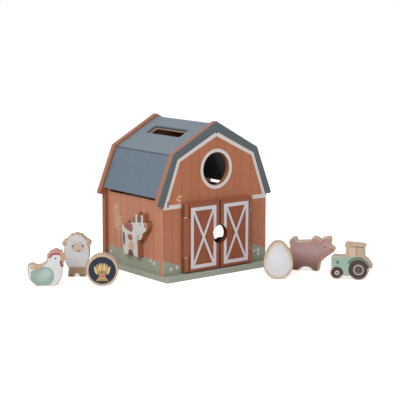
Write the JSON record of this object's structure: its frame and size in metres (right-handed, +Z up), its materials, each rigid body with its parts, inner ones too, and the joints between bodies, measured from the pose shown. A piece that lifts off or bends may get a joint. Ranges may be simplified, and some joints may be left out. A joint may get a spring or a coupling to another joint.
{
  "type": "shape sorter",
  "caption": "Wooden barn shape sorter with hinged doors, a slotted gambrel roof and shaped blocks that push through matching cut-outs.",
  "frame": {"origin": "middle of the base plate's underside, half-way between the gables", "axes": "+X to the right as seen from the doors, +Y to the back, +Z up"},
  "size_m": [0.3761, 0.2994, 0.1997],
  "materials": {
    "base_paint": "satin paint, pale sage",
    "wall_paint": "satin paint, barn brown",
    "roof_paint": "satin paint, slate blue",
    "door_paint": "satin paint, dark brown",
    "pin_steel": "bright",
    "washer_plastic": "matte",
    "cow_paint": "satin paint, brown sides",
    "block_wood": "clear matte lacquer"
  },
  "bodies": {
    "barn": {"base_plate": "base_paint", "front_gable_wall": "wall_paint", "back_gable_wall": "wall_paint", "left_side_wall": "wall_paint", "right_side_wall": "wall_paint", "left_lower_roof_panel": "roof_paint", "right_lower_roof_panel": "roof_paint", "left_upper_roof_panel": "roof_paint", "right_upper_roof_panel": "roof_paint", "left_hinge_block_low": "door_paint", "left_hinge_block_high": "door_paint", "right_hinge_block_low": "door_paint", "right_hinge_block_high": "door_paint", "left_hinge_pin": "pin_steel", "right_hinge_pin": "pin_steel", "hinge_washers": "washer_plastic"},
    "left_door": {"left_door": "door_paint"},
    "right_door": {"right_door": "door_paint"},
    "cow_block": {"cow_block": "cow_paint"},
    "hen_block": {"hen_block": "block_wood"},
    "sheep_block": {"sheep_block": "block_wood"},
    "round_block": {"round_block": "block_wood"},
    "egg_block": {"egg_block": "block_wood"},
    "pig_block": {"pig_block": "block_wood"},
    "tractor_block": {"tractor_block": "block_wood"}
  },
  "joints": [
    {"name": "left_door_hinge", "type": "hinge", "parent": "barn", "child": "left_door", "pos_m": [-0.053, -0.0734, 0.054], "axis": [0, 0, -1], "range_deg": [0, 178]},
    {"name": "right_door_hinge", "type": "hinge", "parent": "barn", "child": "right_door", "pos_m": [0.053, -0.0734, 0.054], "axis": [0, 0, 1], "range_deg": [0, 178]},
    {"name": "cow_post", "type": "slide", "parent": "barn", "child": "cow_block", "axis": [1, 0, 0], "range_m": [-0.03, 0.045]},
    {"name": "hen_lift", "type": "slide", "parent": "barn", "child": "hen_block", "axis": [0, 0, 1], "range_m": [0, 0.08]},
    {"name": "sheep_lift", "type": "slide", "parent": "barn", "child": "sheep_block", "axis": [0, 0, 1], "range_m": [0, 0.08]},
    {"name": "round_lift", "type": "slide", "parent": "barn", "child": "round_block", "axis": [0, 0, 1], "range_m": [0, 0.08]},
    {"name": "egg_lift", "type": "slide", "parent": "barn", "child": "egg_block", "axis": [0, 0, 1], "range_m": [0, 0.08]},
    {"name": "pig_lift", "type": "slide", "parent": "barn", "child": "pig_block", "axis": [0, 0, 1], "range_m": [0, 0.08]},
    {"name": "tractor_lift", "type": "slide", "parent": "barn", "child": "tractor_block", "axis": [0, 0, 1], "range_m": [0, 0.08]}
  ]
}
